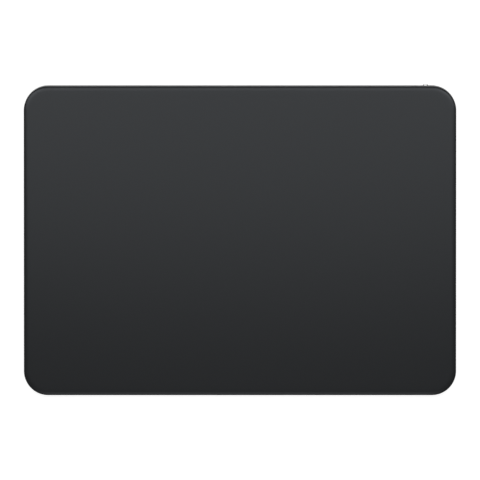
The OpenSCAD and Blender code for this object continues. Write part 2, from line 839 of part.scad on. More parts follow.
// A sheet-metal strap over the shell, with an ear screwed down on each side
module port_strap() {
    inside = port_w / 2 + seat_gap;
    top = port_h + seat_gap;
    color("#a4a7ab") on_deck() difference() {
        from_rear(port_post[1] + strap_d / 2, strap_d) translate([0, port_board_top]) {
            for (x = [-1, 1]) {
                translate([x * (inside + port_board_w / 2) / 2, strap_t / 2])
                    square([port_board_w / 2 - inside, strap_t], center = true);
                translate([x * (inside + strap_t / 2), (top + strap_t) / 2])
                    square([strap_t, top + strap_t], center = true);
            }
            translate([0, top + strap_t / 2]) square([2 * (inside + strap_t), strap_t], center = true);
        }
        at_port_screws() translate([0, 0, port_board_top + strap_t]) screw_hole(strap_t + cut);
    }
}

module port_screws() {
    color("#70747a") on_deck() at_port_screws() translate([0, 0, port_board_top + strap_t])
        screw(strap_t + port_board_t + bite - thread_end);
}

// The power switch

module switch_slider() {
    color("#d0d1d3") on_deck() translate([knob_x, 0, port_z]) {
        from_rear(slider_face, slider_face - flange_y) stadium(slider_len, slider_h);
        from_rear(flange_y, flange_t) square([flange_len, flange_h], center = true);
        from_rear(half_d + knob_proud, half_d + knob_proud - slider_face)
            rounded_rect(knob_w, slider_h - 2 * running_gap, knob_r);
        from_rear(flange_y - flange_t, lever[1]) square([lever[0], lever[2]], center = true);
    }
}

// A coloured film beside the slider, behind the wall until the switch is on
module switch_flag() {
    film = [switch_travel, slot_h];
    color("#2fae55") on_deck() from_rear(flange_y + flag_t, flag_t)
        translate([knob_x + (slider_len + film[0]) / 2, port_z]) square(film, center = true);
}

module switch_body() {
    color("#1b1c1e") on_deck() difference() {
        slab([slot_x, switch_rear - switch_size[1] / 2], switch_size,
            port_z - switch_size[2] / 2, port_z + switch_size[2] / 2);
        slab([slot_x, switch_rear], [lever[0] + switch_travel + 2 * lever_room, 2 * (lever[1] + lever_room)],
            port_z - lever[2] / 2 - switch_gap, port_z + lever[2] / 2 + switch_gap);
    }
}

module switch_board() {
    left = switch_post_x - switch_board_d / 2;
    right = slot_x + switch_size[0] / 2;
    color("#1f4d38") on_deck() difference() {
        slab([(left + right) / 2, switch_post_y], [right - left, switch_board_d],
            switch_board_top - switch_board_t, switch_board_top);
        translate([switch_post_x, switch_post_y, switch_board_top]) screw_hole(switch_board_t + cut);
    }
}

module switch_screw() {
    color("#70747a") on_deck() translate([switch_post_x, switch_post_y, switch_board_top])
        screw(switch_board_t + bite - thread_end);
}

lower_case();
touch_glass();
bond_sheet();
sensor_board();
stiffener_plate();
touch_chips();
sensor_plug();
armature();
edge_seal();
for (c = CORNERS) {
    foot(c[1], c[2]);
    force_beam(c[1], c[2]);
    shear_pad(c[1], c[2]);
}
strain_gauges();
beam_screws();
drive_bracket();
core(-1);  // core_left
core(1);  // core_right
coil(-1, -1);  // coil_left_front
coil(-1, 1);  // coil_left_rear
coil(1, -1);  // coil_right_front
coil(1, 1);  // coil_right_rear
drive_screws();
battery_cell();
battery_tape();
battery_circuit();
battery_lead();
main_board();
shield_can();
board_chips();
board_passives();
board_sockets();
board_screws();
sensor_cable();
rear_cable();
antenna_carrier();
antenna_strip();
port_shell();
port_tongue();
port_contacts();
port_board();
port_strap();
port_screws();
switch_slider();
switch_flag();
switch_body();
switch_board();
switch_screw();
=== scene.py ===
import json
import math

import bmesh
import bpy
from mathutils import Matrix, Vector


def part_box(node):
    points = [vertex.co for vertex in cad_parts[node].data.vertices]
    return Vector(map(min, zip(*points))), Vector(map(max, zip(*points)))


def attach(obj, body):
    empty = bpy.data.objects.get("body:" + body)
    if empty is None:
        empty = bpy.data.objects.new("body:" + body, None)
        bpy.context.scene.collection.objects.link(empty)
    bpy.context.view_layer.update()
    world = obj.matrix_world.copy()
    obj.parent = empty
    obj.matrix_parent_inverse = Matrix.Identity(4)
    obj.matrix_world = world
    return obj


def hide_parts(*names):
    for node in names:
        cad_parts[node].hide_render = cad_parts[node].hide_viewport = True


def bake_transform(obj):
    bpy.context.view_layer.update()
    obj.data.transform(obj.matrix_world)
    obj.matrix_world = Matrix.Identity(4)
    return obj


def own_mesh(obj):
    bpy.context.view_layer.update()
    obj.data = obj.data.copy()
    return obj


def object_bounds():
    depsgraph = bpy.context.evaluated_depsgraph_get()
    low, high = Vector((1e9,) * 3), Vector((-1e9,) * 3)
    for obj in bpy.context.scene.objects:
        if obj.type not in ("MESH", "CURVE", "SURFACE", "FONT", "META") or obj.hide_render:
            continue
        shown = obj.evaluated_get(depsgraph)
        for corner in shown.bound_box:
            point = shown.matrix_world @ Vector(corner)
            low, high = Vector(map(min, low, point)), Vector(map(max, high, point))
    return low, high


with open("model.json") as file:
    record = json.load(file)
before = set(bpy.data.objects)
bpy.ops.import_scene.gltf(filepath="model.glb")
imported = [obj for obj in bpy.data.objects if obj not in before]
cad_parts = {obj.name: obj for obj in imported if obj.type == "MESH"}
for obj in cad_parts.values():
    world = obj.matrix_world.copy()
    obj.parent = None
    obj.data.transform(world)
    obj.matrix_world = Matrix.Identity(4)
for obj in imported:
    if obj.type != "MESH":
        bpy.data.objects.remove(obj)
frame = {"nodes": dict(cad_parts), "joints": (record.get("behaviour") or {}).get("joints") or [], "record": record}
cadLow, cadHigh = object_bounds()
nodes = frame["nodes"]
slotOf = {part["node"]: part["material_slot"] for part in frame["record"]["subparts"]}
mm = 0.001
print("frame:", len(nodes), "nodes")

# the glass lies in a tilted frame of its own; its slope is read from the press joint
pressJoint = next(joint for joint in frame["joints"] if joint["name"] == "surface_press")
pressAxis = Vector(pressJoint["axis"])
deckTurn = Matrix.Rotation(math.atan2(pressAxis.y, -pressAxis.z), 4, "X")
toDeck = deckTurn.inverted()
rearTurn = deckTurn @ Matrix.Rotation(math.radians(-90), 4, "X")  # local z points out of the rear wall
toRear = rearTurn.inverted()
noTurn = Matrix.Identity(4)
corners = ["front_left", "front_right", "rear_left", "rear_right"]

mergeGap = 0.002 * mm  # CAD points this near to each other are one point
levelGap = 0.005 * mm  # points this near in height share a level
sideGap = 0.001 * mm  # points this near to a side lie on it
flatLimit = math.radians(0.3)  # faces that meet flatter than this are one face
cutPast = 1.0 * mm  # how far a cutter reaches past what it cuts


# reading the frame

def boxOf(spots):  # the lowest and the highest corner
    axes = list(zip(*spots))
    return Vector([min(a) for a in axes]), Vector([max(a) for a in axes])


def middle(box):
    return (box[0] + box[1]) / 2


def footOf(box):  # the middle of a box's lower face
    centre = middle(box)
    return Vector((centre.x, centre.y, box[0].z))


def spotsOf(node, turn):  # a node's points, seen in a turned frame
    return [turn @ v.co for v in nodes[node].data.vertices]


def deckBox(node):
    return boxOf(spotsOf(node, toDeck))


def rearBox(node):
    return boxOf(spotsOf(node, toRear))


def levelsOf(spots):  # the heights that the points lie at, to a micrometre
    return sorted({round(p.z, 6) for p in spots})


def atLevel(spots, level):  # the box of the points at one height
    return boxOf([p for p in spots if abs(p.z - level) < levelGap])


def cornerRadius(node):  # from where the node's straight side ends
    spots = spotsOf(node, toDeck)
    high = boxOf(spots)[1]
    return high.y - max(p.y for p in spots if p.x > high.x - sideGap)


def mergedCopy(node):
    shape = bmesh.new()
    shape.from_mesh(nodes[node].data)
    bmesh.ops.remove_doubles(shape, verts=shape.verts, dist=mergeGap)
    return shape


def flatFaced(node):  # a merged copy without the lines across its flat faces
    shape = mergedCopy(node)
    bmesh.ops.dissolve_limit(shape, angle_limit=flatLimit, verts=shape.verts, edges=shape.edges)
    return shape


def solidBoxes(node, turn):  # the box of each separate solid in a node
    shape = mergedCopy(node)
    waiting = set(shape.verts)
    boxes = []
    while waiting:
        front = [waiting.pop()]
        solid = list(front)
        while front:
            near = {e.other_vert(v) for v in front for e in v.link_edges} & waiting
            waiting -= near
            front = list(near)
            solid += front
        boxes.append(boxOf([turn @ v.co for v in solid]))
    shape.free()
    return sorted(boxes, key=lambda box: tuple(middle(box)))


# meshes and objects

def meshFrom(shape, name):
    mesh = bpy.data.meshes.new(name)
    shape.to_mesh(mesh)
    shape.free()
    return mesh


def shaded(mesh, sharpAngle):  # smooth but for the sharp edges
    mesh.polygons.foreach_set("use_smooth", [True] * len(mesh.polygons))
    mesh.set_sharp_from_angle(angle=math.radians(sharpAngle))
    return mesh


def smoothed(mesh, sharpAngle=38):  # shaded, with its faces pointing outwards
    shape = bmesh.new()
    shape.from_mesh(mesh)
    bmesh.ops.recalc_face_normals(shape, faces=shape.faces)
    shape.to_mesh(mesh)
    shape.free()
    return shaded(mesh, sharpAngle)


def movedTo(mesh, place, turn=noTurn):
    mesh.transform(turn @ Matrix.Translation(place))
    return mesh


def joined(meshes, name):
    shape = bmesh.new()
    for mesh in meshes:
        shape.from_mesh(mesh)
    return meshFrom(shape, name)


def boxMesh(low, high, name):
    shape = bmesh.new()
    bmesh.ops.create_cube(shape, size=1)
    place = Matrix.Translation((low + high) / 2) @ Matrix.Diagonal((*(high - low), 1))
    bmesh.ops.transform(shape, verts=shape.verts, matrix=place)
    return meshFrom(shape, name)


def addObject(name, data):
    added = bpy.data.objects.new(name, data)
    bpy.context.scene.collection.objects.link(added)
    return added


def applied(mesh, addModifiers):  # a plain mesh with the modifiers worked in
    holder = addObject("holder", mesh)
    addModifiers(holder)
    bpy.context.view_layer.update()
    graph = bpy.context.evaluated_depsgraph_get()
    done = bpy.data.meshes.new_from_object(holder.evaluated_get(graph))
    bpy.data.objects.remove(holder)
    return done


def combined(first, second, operation="UNION"):  # a boolean of two closed meshes
    other = addObject("other", second)

    def addBoolean(holder):
        modifier = holder.modifiers.new("combine", "BOOLEAN")
        modifier.object = other
        modifier.operation = operation
        modifier.solver = "EXACT"

    mesh = applied(first, addBoolean)
    bpy.data.objects.remove(other)
    return mesh


# materials

def addNode(tree, kind, wires=None, **settings):  # a wire given as a node starts at its first output
    node = tree.nodes.new(kind)
    for key, value in settings.items():
        setattr(node, key, value)
    for key, value in (wires or {}).items():
        source = value.outputs[0] if isinstance(value, bpy.types.Node) else value
        if isinstance(source, bpy.types.NodeSocket):
            tree.links.new(source, node.inputs[key])
        else:
            node.inputs[key].default_value = source
    return node


def addMath(tree, operation, *values):
    return addNode(tree, "ShaderNodeMath", dict(enumerate(values)), operation=operation)


def newFinish(name, **sockets):
    material = bpy.data.materials.new(name)
    material.use_nodes = True
    tree = material.node_tree
    shader = tree.nodes["Principled BSDF"]
    for key, value in sockets.items():
        shader.inputs[key.replace("_", " ")].default_value = value
    place = addNode(tree, "ShaderNodeTexCoord").outputs["Object"]
    return material, tree, shader, place


def rgb(shade, tint=(1, 1, 1)):
    return (*[shade * t for t in tint], 1)


def tones(shade, spread, tint=(1, 1, 1)):  # a finish's dark and light tone
    return rgb((1 - spread) * shade, tint), rgb((1 + spread) * shade, tint)


def addTones(tree, shader, fac, pair):
    mix = addNode(tree, "ShaderNodeMix", {"Factor": fac, "A": pair[0], "B": pair[1]}, data_type="RGBA")
    tree.links.new(mix.outputs["Result"], shader.inputs["Base Color"])
    return mix.outputs["Result"]


def addRoughness(tree, shader, fac, limits):
    span = addNode(tree, "ShaderNodeMapRange", {"Value": fac, "To Min": limits[0], "To Max": limits[1]})
    tree.links.new(span.outputs["Result"], shader.inputs["Roughness"])


def addBump(tree, shader, height, depth):
    bump = addNode(tree, "ShaderNodeBump", {"Distance": depth, "Height": height})
    tree.links.new(bump.outputs["Normal"], shader.inputs["Normal"])


def grain(tree, place, size, detail=2.0):  # noise whose grains have this size
    noise = addNode(tree, "ShaderNodeTexNoise", {"Vector": place, "Scale": 1 / size, "Detail": detail})
    return noise.outputs["Fac"]


glassLook = {"ink": 0.0021, "tint": (0.95, 1.0, 1.05), "spread": 0.1, "cloud": 25 * mm,
             "rough": (0.265, 0.295), "index": 1.5, "specular": 0.148, "sheen": (0.89, 0.943, 1.0),
             "etch": 0.05 * mm, "etchDepth": 0.0004 * mm}


def mattGlass(look):
    material, tree, shader, place = newFinish(
        "mattBlackGlass", IOR=look["index"], Specular_IOR_Level=look["specular"],
        Specular_Tint=rgb(1, look["sheen"]))
    etch = grain(tree, place, look["etch"])
    cloud = grain(tree, place, look["cloud"])
    addTones(tree, shader, cloud, tones(look["ink"], look["spread"], look["tint"]))
    addRoughness(tree, shader, etch, look["rough"])
    addBump(tree, shader, etch, look["etchDepth"])
    return material


# openingShade is a painted shade: the share of the tone left on the walls inside the openings
trayLook = {"tone": 0.60, "tint": (0.985, 0.995, 1.0), "spread": 0.04, "cloud": 9 * mm,
            "rough": (0.36, 0.46), "grazing": 0.13, "blast": 0.09 * mm, "blastDetail": 3.0,
            "blastDepth": 0.004 * mm, "openingShade": 0.35}


def blastedAluminium(look):
    material, tree, shader, place = newFinish(
        "blastedAluminium", Metallic=1.0, Specular_Tint=rgb(look["grazing"]))
    blast = grain(tree, place, look["blast"], look["blastDetail"])
    cloud = grain(tree, place, look["cloud"])
    metal = addTones(tree, shader, cloud, tones(look["tone"], look["spread"], look["tint"]))
    paintedShadeMask = addNode(tree, "ShaderNodeAttribute", attribute_name="opening").outputs["Fac"]
    # painted shade: the marked walls inside the openings take a darker tone, as if in shadow
    addTones(tree, shader, paintedShadeMask, (metal, rgb(look["openingShade"] * look["tone"])))
    addRoughness(tree, shader, blast, look["rough"])
    addBump(tree, shader, blast, look["blastDepth"])
    return material


foamLook = {"dark": rgb(0.006), "light": rgb(0.02), "rough": 0.9, "cell": 0.12 * mm, "depth": 0.03 * mm}


def sealFoam(look):
    material, tree, shader, place = newFinish("sealFoam", Roughness=look["rough"])
    cells = addNode(tree, "ShaderNodeTexVoronoi", {"Vector": place, "Scale": 1 / look["cell"]})
    addTones(tree, shader, cells.outputs["Distance"], (look["dark"], look["light"]))
    addBump(tree, shader, cells.outputs["Distance"], look["depth"])
    return material


boardLook = {"dark": rgb(1, (0.010, 0.085, 0.040)), "light": rgb(1, (0.016, 0.125, 0.062)), "rough": 0.35,
             "trace": 1.6 * mm, "traceGap": 0.02, "stagger": 0.37, "dimmer": 0.7, "depth": 0.02 * mm}


def printedBoard(look):
    material, tree, shader, place = newFinish("printedBoard", Roughness=look["rough"])
    traces = addNode(tree, "ShaderNodeTexBrick", {
        "Vector": place, "Color1": rgb(1), "Color2": rgb(look["dimmer"]), "Mortar": rgb(0),
        "Scale": 1 / look["trace"], "Mortar Size": look["traceGap"]}, offset=look["stagger"])
    addTones(tree, shader, traces.outputs["Color"], (look["dark"], look["light"]))
    addBump(tree, shader, traces.outputs["Fac"], look["depth"])
    return material


coreLook = {"dark": rgb(0.12), "light": rgb(0.26), "rough": 0.45, "band": 7 * mm, "waver": 0.2,
            "depth": 0.02 * mm}


def stackedSteel(look):  # thin sheets, one on another
    material, tree, shader, place = newFinish("stackedSteel", Metallic=1.0, Roughness=look["rough"])
    sheets = addNode(tree, "ShaderNodeTexWave", {
        "Vector": place, "Scale": 1 / look["band"], "Distortion": look["waver"]}, bands_direction="Z")
    addTones(tree, shader, sheets.outputs["Fac"], (look["dark"], look["light"]))
    addBump(tree, shader, sheets.outputs["Fac"], look["depth"])
    return material


cellLook = {"dark": rgb(0.010), "light": rgb(0.018), "specular": 0.5, "rough": (0.28, 0.4),
            "crease": 6 * mm, "depth": 0.05 * mm}


def wrappedCell(look):
    material, tree, shader, place = newFinish("wrappedCell", Specular_IOR_Level=look["specular"])
    film = addNode(tree, "ShaderNodeTexVoronoi", {"Vector": place, "Scale": 1 / look["crease"]},
                   feature="SMOOTH_F1")
    crease = film.outputs["Distance"]
    addTones(tree, shader, crease, (look["dark"], look["light"]))
    addRoughness(tree, shader, crease, look["rough"])
    addBump(tree, shader, crease, look["depth"])
    return material


wireLook = {"dark": rgb(1, (0.36, 0.11, 0.03)), "light": rgb(1, (0.52, 0.19, 0.06)), "metallic": 0.85,
            "coat": 0.6, "rough": (0.2, 0.34), "cloud": 1.5 * mm}


def enamelledWire(look):
    material, tree, shader, place = newFinish(
        "enamelledWire", Metallic=look["metallic"], Coat_Weight=look["coat"])
    cloud = grain(tree, place, look["cloud"])
    addTones(tree, shader, cloud, (look["dark"], look["light"]))
    addRoughness(tree, shader, cloud, look["rough"])
    return material


grainy = {"greySpread": 0.06, "tintSpread": 0.08, "cloudGrains": 40}


def grey(shade):
    return tones(shade, grainy["greySpread"])


def tinted(*colour):
    return tones(1, grainy["tintSpread"], colour)


def grainyFinish(name, pair, rough, size, depth, **sockets):
    material, tree, shader, place = newFinish(name, **sockets)
    speck = grain(tree, place, size)
    cloud = grain(tree, place, grainy["cloudGrains"] * size)
    addTones(tree, shader, cloud, pair)
    addRoughness(tree, shader, speck, rough)
    addBump(tree, shader, speck, depth)
    return material


def grainyMetal(*look, metallic=1.0):
    return grainyFinish(*look, Metallic=metallic)


# a finish for each material slot, and tin for the ends of the small parts
# a grainy one has its tones, roughness, grain size and depth
finishes = {
    "tray_aluminium": blastedAluminium(trayLook),
    "black_glass": mattGlass(glassLook),
    "black_foam": sealFoam(foamLook),
    "green_board": printedBoard(boardLook),
    "core_steel": stackedSteel(coreLook),
    "battery_wrap": wrappedCell(cellLook),
    "coil_copper": enamelledWire(wireLook),
    "foot_rubber": grainyFinish("footRubber", grey(0.20), (0.6, 0.75), 0.15 * mm, 0.01 * mm),
    "slider_plastic": grainyFinish("sliderPlastic", grey(0.80), (0.35, 0.45), 0.08 * mm, 0.002 * mm),
    "black_plastic": grainyFinish("blackPlastic", grey(0.012), (0.4, 0.55), 0.1 * mm, 0.003 * mm),
    "chip_resin": grainyFinish("chipResin", grey(0.011), (0.5, 0.65), 0.06 * mm, 0.004 * mm),
    "silicone": grainyFinish(
        "silicone", tinted(0.11, 0.12, 0.14), (0.45, 0.6), 0.2 * mm, 0.004 * mm),
    "green_film": grainyFinish(
        "flagFilm", tinted(0.02, 0.40, 0.08), (0.3, 0.4), 0.1 * mm, 0.001 * mm),
    "socket_plastic": grainyFinish(
        "socketPlastic", tinted(0.60, 0.53, 0.36), (0.35, 0.5), 0.1 * mm, 0.002 * mm),
    "ceramic_tan": grainyFinish(
        "ceramicTan", tinted(0.40, 0.27, 0.13), (0.4, 0.55), 0.05 * mm, 0.002 * mm),
    "clear_adhesive": grainyFinish(
        "clearAdhesive", tinted(0.70, 0.66, 0.56), (0.3, 0.45), 0.5 * mm, 0.002 * mm),
    "amber_film": grainyFinish(
        "amberFilm", tinted(0.46, 0.17, 0.02), (0.18, 0.3), 0.8 * mm, 0.002 * mm),
    "plain_steel": grainyMetal("plainSteel", grey(0.50), (0.25, 0.4), 0.2 * mm, 0.002 * mm),
    "beam_steel": grainyMetal("beamSteel", grey(0.55), (0.22, 0.34), 0.15 * mm, 0.002 * mm),
    "screw_steel": grainyMetal("screwSteel", grey(0.30), (0.25, 0.38), 0.1 * mm, 0.002 * mm),
    "tin": grainyMetal("tinnedEnds", grey(0.62), (0.2, 0.35), 0.1 * mm, 0.002 * mm),
    "antenna_copper": grainyMetal(
        "antennaCopper", tinted(0.62, 0.28, 0.08), (0.25, 0.4), 0.2 * mm, 0.002 * mm),
    "contact_gold": grainyMetal(
        "contactGold", tinted(0.80, 0.55, 0.20), (0.18, 0.28), 0.1 * mm, 0.001 * mm),
    "gauge_foil": grainyMetal(
        "gaugeFoil", tinted(0.55, 0.24, 0.05), (0.25, 0.4), 0.1 * mm, 0.002 * mm, metallic=0.7),
}
for node, slot in slotOf.items():
    paint = nodes[node].data.materials
    paint.clear()
    paint.append(finishes[slot])
print("materials:", len(finishes))


# Geometry Nodes trees

def newTree(name, sockets):
    tree = bpy.data.node_groups.new(name, "GeometryNodeTree")
    tree.interface.new_socket("Geometry", in_out="INPUT", socket_type="NodeSocketGeometry")
    for label, kind in sockets.items():
        tree.interface.new_socket(label, in_out="INPUT", socket_type="NodeSocket" + kind)
    tree.interface.new_socket("Geometry", in_out="OUTPUT", socket_type="NodeSocketGeometry")
    return tree, tree.nodes.new("NodeGroupInput").outputs


def endTree(tree, geometry, material):
    real = addNode(tree, "GeometryNodeRealizeInstances", {"Geometry": geometry})
    dressed = addNode(tree, "GeometryNodeSetMaterial", {"Geometry": real, "Material": material})
    tree.links.new(dressed.outputs[0], tree.nodes.new("NodeGroupOutput").inputs[0])
    return tree


def grow(tree, seed, values):  # the plain mesh that a tree makes of a seed
    def addTree(holder):
        modifier = holder.modifiers.new("grow", "NODES")
        modifier.node_group = tree
        for item in tree.interface.items_tree:
            if item.in_out == "INPUT" and item.name in values:
                modifier[item.identifier] = values[item.name]
    return applied(seed, addTree)


outlineSizes = {"Width": "Float", "Depth": "Float", "Corner Radius": "Float", "Corner Steps": "Int"}
fillScale = 1000  # caps are filled at this scale, because the fill merges points under 0.01 mm apart
seamGap = 0.001 * mm  # a cap grows together with its wall within this distance


def roundedOutline(tree, ins):
    plain = addNode(tree, "GeometryNodeCurvePrimitiveQuadrilateral",
                    {"Width": ins["Width"], "Height": ins["Depth"]}, mode="RECTANGLE")
    return addNode(tree, "GeometryNodeFilletCurve", {
        "Curve": plain, "Radius": ins["Corner Radius"], "Count": ins["Corner Steps"]}, mode="POLY")


def heightOf(tree, vector):
    return addNode(tree, "ShaderNodeSeparateXYZ", {0: vector}).outputs["Z"]


def filledLoop(tree, loop):  # a flat face over a level loop
    large = addNode(tree, "GeometryNodeTransform", {"Geometry": loop, "Scale": [fillScale] * 3})
    face = addNode(tree, "GeometryNodeFillCurve", {"Curve": large}, mode="NGONS")
    reach = addNode(tree, "GeometryNodeBoundBox", {"Geometry": loop, "Use Radius": False})
    lift = addNode(tree, "ShaderNodeCombineXYZ", {"Z": heightOf(tree, reach.outputs["Min"])})
    return addNode(tree, "GeometryNodeTransform", {
        "Geometry": face, "Translation": lift, "Scale": [1 / fillScale] * 3})


def makeSweepTree():  # carries a profile round a circle or a rounded rectangle, and caps it
    tree, ins = newTree("roundedSweep", {
        **outlineSizes, "Round": "Bool", "Capped": "Bool", "Material": "Material"})
    circle = addNode(tree, "GeometryNodeCurvePrimitiveCircle", {
        "Resolution": addMath(tree, "MULTIPLY", ins["Corner Steps"], 4),
        "Radius": addMath(tree, "MULTIPLY", ins["Width"], 0.5)})
    outline = addNode(tree, "GeometryNodeSwitch", {
        "Switch": ins["Round"], "False": roundedOutline(tree, ins), "True": circle}, input_type="GEOMETRY")
    path = addNode(tree, "GeometryNodeSetCurveNormal", {"Curve": outline}, mode="Z_UP")
    profile = addNode(tree, "GeometryNodeMeshToCurve", {"Mesh": ins["Geometry"]})
    wall = addNode(tree, "GeometryNodeCurveToMesh", {"Curve": path, "Profile Curve": profile})
    sides = addNode(tree, "GeometryNodeInputMeshEdgeNeighbors")
    rim = addNode(tree, "FunctionNodeCompare", {"A": sides, "B": 1}, data_type="INT", operation="EQUAL")
    extent = addNode(tree, "GeometryNodeBoundBox", {"Geometry": wall}).outputs
    ends = addNode(tree, "ShaderNodeVectorMath", {0: extent["Min"], 1: extent["Max"]}, operation="ADD")
    centre = addNode(tree, "ShaderNodeVectorMath", {0: ends, "Scale": 0.5}, operation="SCALE")
    centreZ = heightOf(tree, centre)
    hereZ = heightOf(tree, addNode(tree, "GeometryNodeInputPosition"))
    caps = addNode(tree, "GeometryNodeJoinGeometry")
    for test in ("LESS_THAN", "GREATER_THAN"):  # the lower rim, then the upper one
        side = addNode(tree, "FunctionNodeCompare", {"A": hereZ, "B": centreZ},
                       data_type="FLOAT", operation=test)
        both = addNode(tree, "FunctionNodeBooleanMath", {0: rim, 1: side}, operation="AND")
        loop = addNode(tree, "GeometryNodeMeshToCurve", {"Mesh": wall, "Selection": both})
        tree.links.new(filledLoop(tree, loop).outputs[0], caps.inputs[0])
    used = addNode(tree, "GeometryNodeSwitch", {"Switch": ins["Capped"], "True": caps},
                   input_type="GEOMETRY")
    whole = addNode(tree, "GeometryNodeJoinGeometry")
    tree.links.new(wall.outputs[0], whole.inputs[0])
    tree.links.new(used.outputs[0], whole.inputs[0])
    merged = addNode(tree, "GeometryNodeMergeByDistance", {"Geometry": whole, "Distance": seamGap})
    return endTree(tree, merged, ins["Material"])


def makeRepeatTree():  # sets one shape at every point of the seed, turned as the point says
    tree, ins = newTree("repeatedShape", {"Shape": "Object", "Material": "Material"})
    shape = addNode(tree, "GeometryNodeObjectInfo", {"Object": ins["Shape"]}, transform_space="ORIGINAL")
    turn = addNode(tree, "GeometryNodeInputNamedAttribute", {"Name": "turn"}, data_type="FLOAT_VECTOR")
    placed = addNode(tree, "GeometryNodeInstanceOnPoints", {
        "Points": ins["Geometry"], "Instance": shape.outputs["Geometry"],
        "Rotation": turn.outputs["Attribute"]})
    return endTree(tree, placed, ins["Material"])


def makeCoilTree():  # winds a wire round a rounded rectangle, up its axis
    tree, ins = newTree("woundCoil", {
        **outlineSizes, "Pitch": "Float", "Turns": "Int", "Turn Steps": "Int", "Wire Radius": "Float",
        "Wire Sides": "Int", "Material": "Material"})
    count = addMath(tree, "MULTIPLY", ins["Turns"], ins["Turn Steps"])
    line = addNode(tree, "GeometryNodeMeshLine", {"Count": count}, mode="OFFSET")
    thread = addNode(tree, "GeometryNodeMeshToCurve", {"Mesh": line})
    index = addNode(tree, "GeometryNodeInputIndex")
    wound = addMath(tree, "DIVIDE", index, ins["Turn Steps"])
    share = addMath(tree, "FRACT", wound)
    spot = addNode(tree, "GeometryNodeSampleCurve", {
        "Curves": roundedOutline(tree, ins), "Factor": share}, mode="FACTOR", use_all_curves=True)
    lift = addNode(tree, "ShaderNodeCombineXYZ", {"Z": addMath(tree, "MULTIPLY", wound, ins["Pitch"])})
    laid = addNode(tree, "GeometryNodeSetPosition", {
        "Geometry": thread, "Position": spot.outputs["Position"], "Offset": lift})
    wire = addNode(tree, "GeometryNodeCurvePrimitiveCircle", {
        "Resolution": ins["Wire Sides"], "Radius": ins["Wire Radius"]})
    solid = addNode(tree, "GeometryNodeCurveToMesh", {
        "Curve": laid, "Profile Curve": wire, "Fill Caps": True})
    return endTree(tree, solid, ins["Material"])


sweepTree = makeSweepTree()
repeatTree = makeRepeatTree()
coilTree = makeCoilTree()
print("trees:", len(bpy.data.node_groups))


# what the pieces are made with

def swept(points, size, radius, steps, finish, closed=False):  # each point has an inset and a level
    profile = bmesh.new()
    verts = [profile.verts.new((-inset, -level, 0)) for inset, level in points]
    chain = verts + verts[:1] if closed else verts
    for a, b in zip(chain, chain[1:]):
        profile.edges.new((a, b))
    return grow(sweepTree, meshFrom(profile, "profile"), {
        "Width": size[0], "Depth": size[1], "Corner Radius": radius or 0.0, "Corner Steps": steps,
        "Round": radius is None,  # with no radius, the outline is a circle
        "Capped": not closed, "Material": finishes[finish]})


def arc(centre, radii, start, end, steps):  # an elliptic arc of a profile, angles in degrees
    turns = [math.radians(start + (end - start) * i / steps) for i in range(steps + 1)]
    return [(centre[0] + radii[0] * math.cos(t), centre[1] + radii[1] * math.sin(t)) for t in turns]


def roundedBlock(size, corner, edge, steps, finish):  # stands on z = 0, rounded at its upper edge
    profile = [(0, 0)] + arc((edge, size[2] - edge), (edge, edge), 180, 90, steps)
    return swept(profile, size, corner, 2 * steps, finish)


def addPiece(name, mesh, finish):
    mesh.name = name
    mesh.materials.clear()
    mesh.materials.append(finishes[finish])
    piece = addObject(name, mesh)
    return piece


def ridingPiece(name, mesh, body, finish, *stoodFor, slot=None):
    piece = addPiece(name, mesh, finish)
    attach(piece, body)
    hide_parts(*stoodFor)
    return piece


def repeated(name, mesh, places, finish, *stoodFor, slot=None):  # one shape at many places on the base
    pattern = addObject("pattern", mesh)
    seed = bpy.data.meshes.new("seed")
    seed.from_pydata([tuple(spot) for spot, turn in places], [], [])
    turns = seed.attributes.new("turn", "FLOAT_VECTOR", "POINT")
    turns.data.foreach_set("vector", [angle for spot, turn in places for angle in turn])
    grown = grow(repeatTree, seed, {"Shape": pattern, "Material": finishes[finish]})
    bpy.data.objects.remove(pattern)
    return ridingPiece(name, smoothed(grown), "base", finish, *stoodFor, slot=slot)


# the cover glass

glass = {"edgeWidth": 2.0 * mm, "edgeDrop": 0.38 * mm, "edgeSteps": 12, "underEdge": 0.15 * mm,
         "flatMargin": 0.6 * mm, "cornerSteps": 32}


def glassMesh():
    box = deckBox("touch_glass")
    size = box[1] - box[0]
    wide, drop = glass["edgeWidth"], glass["edgeDrop"]
    edge = [(glass["underEdge"], 0), (0, glass["underEdge"])]
    edge += arc((wide, size.z - drop), (wide, drop), 180, 90, glass["edgeSteps"])
    edge.append((wide + glass["flatMargin"], size.z))
    mesh = swept(edge, size, cornerRadius("touch_glass"), glass["cornerSteps"], "black_glass")
    return smoothed(movedTo(mesh, footOf(box), deckTurn))


coverGlass = ridingPiece("cover_glass", glassMesh(), "touch_plate", "black_glass", "touch_glass")
print("cover glass:", len(coverGlass.data.polygons), "faces")


# the tray

tray = {"rimRound": 0.22 * mm, "portRound": 0.08 * mm, "baseRound": 0.3 * mm, "roundSteps": 4,
        "sharpest": 30, "near": 0.02 * mm, "shortest": 0.1 * mm, "baseHigh": 1.0 * mm,
        "portMargin": 1.0 * mm, "downward": 0.5, "openingDeep": 3 * mm, "openingBelow": 4 * mm,
        "openingClear": 1.0 * mm, "sideways": 0.1}


def markPaintedOpeningShade(shape, low, high):  # painted shade: the walls of the port's and the switch's openings are marked to take a darker tone, where shade falls in them
    mark = shape.faces.layers.float.new("opening")
    bottom = middle((low, high)).z - tray["openingBelow"]
    straight = high.x - cornerRadius("touch_glass")
    for face in shape.faces:
        spot = toDeck @ face.calc_center_median()
        outward = toDeck.to_3x3() @ face.normal
        inWall = high.y - tray["openingDeep"] < spot.y < high.y - tray["near"]
        inReach = abs(spot.x) < straight and bottom < spot.z < high.z - tray["openingClear"]
        face[mark] = float(inWall and inReach and abs(outward.y) < tray["sideways"])


